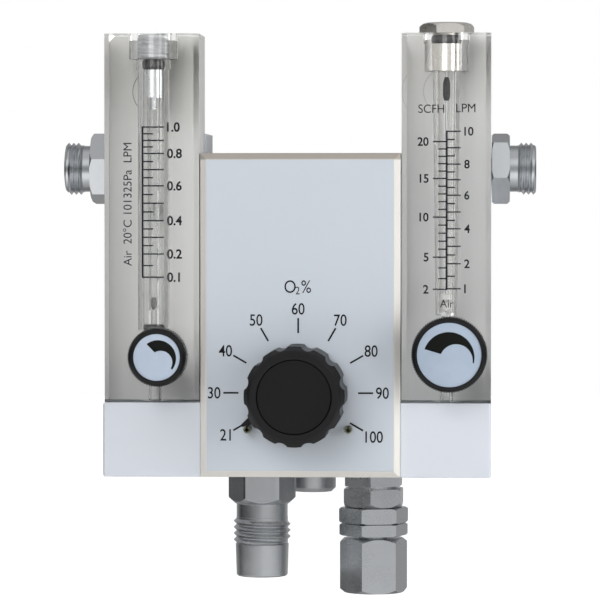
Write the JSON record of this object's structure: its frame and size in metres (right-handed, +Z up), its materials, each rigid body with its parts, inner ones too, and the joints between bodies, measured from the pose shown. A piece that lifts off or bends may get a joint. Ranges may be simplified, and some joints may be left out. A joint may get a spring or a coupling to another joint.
{
  "type": "air oxygen blender",
  "caption": "Gas mixing box with a percentage dial and knob, clear flowmeters at both sides, threaded side outlets and inlets below, hung by a rear slide.",
  "frame": {"origin": "middle of the rear face of the mounting slide", "axes": "+Z up, +Y out of the back towards the wall, +X to the right seen from the front"},
  "size_m": [0.1378, 0.1198, 0.1667],
  "materials": {
    "case_enamel": "gloss enamel, warm white",
    "label_film": "satin printed film, pale blue grey",
    "white_anodised": "satin white",
    "clear_acrylic": "polished clear acrylic",
    "clear_glass": "clear",
    "bright_steel": "bright machined and plated",
    "turned_steel": "turned",
    "plain_aluminium": "machined",
    "valve_brass": "turned",
    "black_plastic": "moulded, satin",
    "small_knob_black": "moulded, fine knurl",
    "grey_cap": "satin",
    "pale_cap": "domed, gloss, black crescent",
    "seal_rubber": "satin",
    "float_black": "satin",
    "float_white": "satin",
    "filter_bronze": "sintered"
  },
  "bodies": {
    "blender_body": {"case_shell": "case_enamel", "face_label": "label_film", "rear_cover": "case_enamel", "cover_screws": "turned_steel", "mounting_slide": "plain_aluminium", "slide_screws": "turned_steel", "gas_block": "plain_aluminium", "valve_bushing": "valve_brass", "bushing_nut": "valve_brass", "spindle_seal": "seal_rubber", "valve_seats": "valve_brass", "shuttle_plugs": "plain_aluminium", "inlet_filters": "filter_bronze", "inlet_duckbills": "seal_rubber", "air_inlet_fitting": "bright_steel", "oxygen_inlet_adapter": "bright_steel", "oxygen_gland_ring": "bright_steel", "oxygen_lock_ring": "bright_steel", "oxygen_nipple": "bright_steel", "alarm_reed": "valve_brass", "alarm_muffler": "plain_aluminium", "stop_pins": "turned_steel", "bridge_tubes": "valve_brass", "meter_port_rings": "seal_rubber", "port_elbows": "plain_aluminium", "meter_screws": "turned_steel", "left_manifold": "white_anodised", "right_manifold": "white_anodised", "left_meter_block": "clear_acrylic", "right_meter_block": "clear_acrylic", "left_metering_tube": "clear_glass", "left_tube_seal": "seal_rubber", "left_tube_adapter": "plain_aluminium", "left_plug_ring": "seal_rubber", "left_top_plug": "plain_aluminium", "right_top_plug": "turned_steel", "right_plug_ring": "seal_rubber", "right_guide_rod": "turned_steel", "right_float_stop": "black_plastic", "left_outlet_fitting": "bright_steel", "right_outlet_fitting": "bright_steel", "left_valve_cartridge": "turned_steel", "right_valve_cartridge": "turned_steel"},
    "mixing_control": {"main_knob": "black_plastic", "main_knob_cap": "grey_cap", "knob_grub_screw": "turned_steel", "control_spindle": "turned_steel"},
    "mixing_poppet": {"mixing_poppet": "turned_steel"},
    "balance_shuttle": {"balance_shuttle": "turned_steel"},
    "left_seal_carrier": {"left_stem_seal": "seal_rubber"},
    "left_valve": {"left_valve_knob": "small_knob_black", "left_knob_cap": "pale_cap", "left_valve_stem": "turned_steel"},
    "right_seal_carrier": {"right_stem_seal": "seal_rubber"},
    "right_valve": {"right_valve_knob": "small_knob_black", "right_knob_cap": "pale_cap", "right_valve_stem": "turned_steel"},
    "left_float": {"left_float": "float_black"},
    "right_float": {"right_float": "float_white"},
    "oxygen_nut": {"oxygen_swivel_nut": "bright_steel"}
  },
  "joints": [
    {"name": "oxygen_control", "type": "hinge", "parent": "blender_body", "child": "mixing_control", "pos_m": [-0.0005, -0.096, -0.022], "axis": [0, 1, 0], "range_deg": [0, 240]},
    {"name": "poppet_slide", "type": "slide", "parent": "blender_body", "child": "mixing_poppet", "axis": [0, 1, 0], "range_m": [0, 0.0016]},
    {"name": "balance_slide", "type": "slide", "parent": "blender_body", "child": "balance_shuttle", "axis": [1, 0, 0], "range_m": [-0.001, 0.001]},
    {"name": "left_valve_rise", "type": "slide", "parent": "blender_body", "child": "left_seal_carrier", "axis": [0, -1, 0], "range_m": [0, 0.0025]},
    {"name": "left_valve_turn", "type": "hinge", "parent": "left_seal_carrier", "child": "left_valve", "pos_m": [-0.03995, -0.0945, -0.0116], "axis": [0, -1, 0], "range_deg": [0, 1800]},
    {"name": "right_valve_rise", "type": "slide", "parent": "blender_body", "child": "right_seal_carrier", "axis": [0, -1, 0], "range_m": [0, 0.0025]},
    {"name": "right_valve_turn", "type": "hinge", "parent": "right_seal_carrier", "child": "right_valve", "pos_m": [0.0424, -0.0945, -0.0107], "axis": [0, -1, 0], "range_deg": [0, 1800]},
    {"name": "left_float_rise", "type": "slide", "parent": "blender_body", "child": "left_float", "axis": [0, 0, 1], "range_m": [0, 0.0535]},
    {"name": "right_float_rise", "type": "slide", "parent": "blender_body", "child": "right_float", "axis": [0, 0, 1], "range_m": [0, 0.0549]},
    {"name": "oxygen_nut_turn", "type": "hinge", "parent": "blender_body", "child": "oxygen_nut", "pos_m": [0.0195, -0.051, -0.07], "axis": [0, 0, -1], "continuous": true}
  ],
  "couplings": [
    {"joint": "oxygen_control", "follows": "poppet_slide", "rad_per_m": 2617.9},
    {"joint": "left_valve_turn", "follows": "left_valve_rise", "rad_per_m": 12566},
    {"joint": "right_valve_turn", "follows": "right_valve_rise", "rad_per_m": 12566}
  ]
}
